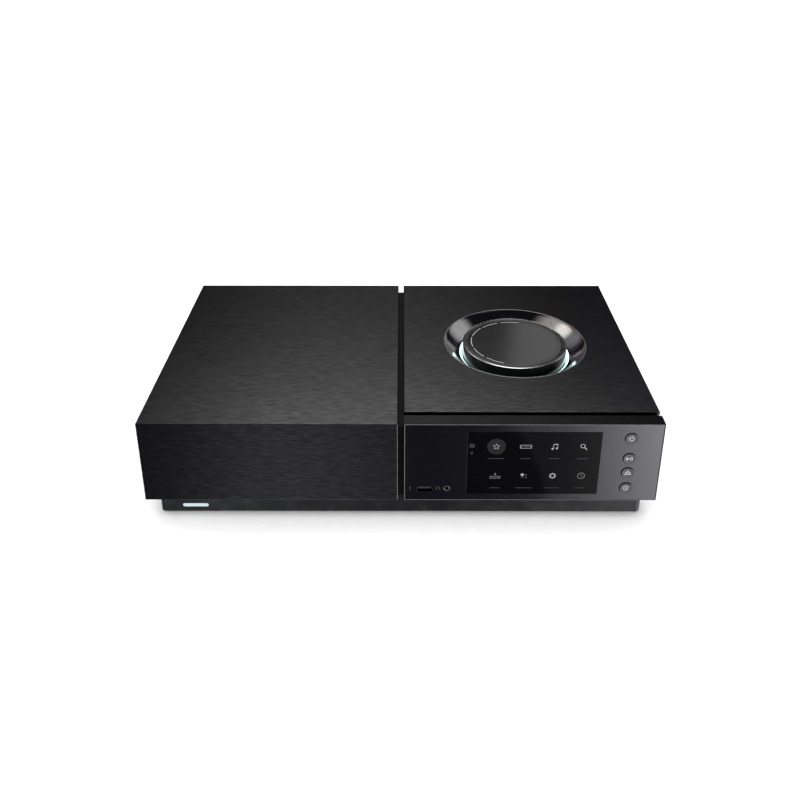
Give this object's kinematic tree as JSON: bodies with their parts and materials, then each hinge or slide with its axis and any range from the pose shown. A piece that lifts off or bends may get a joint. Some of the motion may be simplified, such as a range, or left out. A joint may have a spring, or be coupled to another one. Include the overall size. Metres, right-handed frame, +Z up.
{
  "type": "streaming amplifier",
  "caption": "Low, wide streaming amplifier with a brushed cover beside a screen and button front, a lit dial in a dish on top, finned sides and rear sockets.",
  "frame": {"origin": "on the table under the middle of the case", "axes": "+X to the right seen from the front, +Y to the rear, +Z up"},
  "size_m": [0.432, 0.2658, 0.095],
  "materials": {
    "cover": "brushed, black anodised",
    "fascia": "satin, black anodised",
    "panel": "gloss, dark metallic",
    "screen": "gloss black",
    "dish": "polished dark nickel",
    "dial": "fine turned, dark",
    "glass": "gloss black",
    "light": "frosted, lit white",
    "button": "satin dark grey",
    "casting": "satin, powder coated",
    "heat_sink": "black anodised",
    "steel": "fine textured paint",
    "zinc": "bright zinc",
    "gold": "gold plated",
    "plastic": "moulded black",
    "rubber": "matte",
    "board": "solder mask",
    "winding": "taped winding",
    "sleeve": "sleeved can"
  },
  "bodies": {
    "amplifier": {"feet": "rubber", "base_plinth": "casting", "plinth_lamp": "light", "chassis_tray": "steel", "heat_sink_left": "heat_sink", "heat_sink_right": "heat_sink", "left_cover": "cover", "top_plate": "cover", "centre_spine": "fascia", "fascia_frame": "fascia", "front_panel": "panel", "screen_glass": "screen", "display_module": "zinc", "control_board": "board", "button_switches": "plastic", "front_usb_socket": "zinc", "headphone_socket": "zinc", "dish": "dish", "light_ring": "light", "dial_code_reader": "plastic", "dial_bearing": "zinc", "dial_hub": "casting", "dial_glass": "glass", "level_marks": "light", "level_board": "board", "rear_panel": "steel", "rear_screws": "zinc", "speaker_sockets": "gold", "phono_sockets": "gold", "optical_sockets": "plastic", "network_socket": "zinc", "video_socket": "zinc", "rear_usb_socket": "zinc", "mains_inlet": "plastic", "mains_switch_frame": "plastic", "aerial_sockets": "gold", "toroid_transformer": "winding", "transformer_pad": "rubber", "transformer_clamp": "zinc", "reservoir_capacitors": "sleeve", "power_board": "board", "main_board": "board", "board_posts": "zinc", "streamer_module": "zinc", "output_transistors": "plastic"},
    "dial": {"dial_ring": "dial", "dial_code_ring": "plastic"},
    "power_button": {"power_button": "button"},
    "play_button": {"play_button": "button"},
    "input_button": {"input_button": "button"},
    "preset_button": {"preset_button": "button"},
    "mains_rocker": {"mains_rocker": "plastic"},
    "optical_flap_low": {"optical_flap_low": "plastic"},
    "optical_flap_high": {"optical_flap_high": "plastic"}
  },
  "joints": [
    {"name": "dial_turn", "type": "hinge", "parent": "amplifier", "child": "dial", "pos_m": [0.1093, 0.0073, 0.09], "axis": [0, 0, 1], "continuous": true},
    {"name": "power_press", "type": "slide", "parent": "amplifier", "child": "power_button", "axis": [0, 1, 0], "range_m": [0, 0.0008], "stiffness_N_per_m": 800},
    {"name": "play_press", "type": "slide", "parent": "amplifier", "child": "play_button", "axis": [0, 1, 0], "range_m": [0, 0.0008], "stiffness_N_per_m": 800},
    {"name": "input_press", "type": "slide", "parent": "amplifier", "child": "input_button", "axis": [0, 1, 0], "range_m": [0, 0.0008], "stiffness_N_per_m": 800},
    {"name": "preset_press", "type": "slide", "parent": "amplifier", "child": "preset_button", "axis": [0, 1, 0], "range_m": [0, 0.0008], "stiffness_N_per_m": 800},
    {"name": "mains_rock", "type": "hinge", "parent": "amplifier", "child": "mains_rocker", "pos_m": [-0.129, 0.12395, 0.044], "axis": [1, 0, 0], "range_deg": [0, 20]},
    {"name": "optical_flap_low_swing", "type": "hinge", "parent": "amplifier", "child": "optical_flap_low", "pos_m": [0.03, 0.1252, 0.04795], "axis": [-1, 0, 0], "range_deg": [0, 80], "stiffness_Nm_per_rad": 0.0001},
    {"name": "optical_flap_high_swing", "type": "hinge", "parent": "amplifier", "child": "optical_flap_high", "pos_m": [0.03, 0.1252, 0.06995], "axis": [-1, 0, 0], "range_deg": [0, 80], "stiffness_Nm_per_rad": 0.0001}
  ]
}
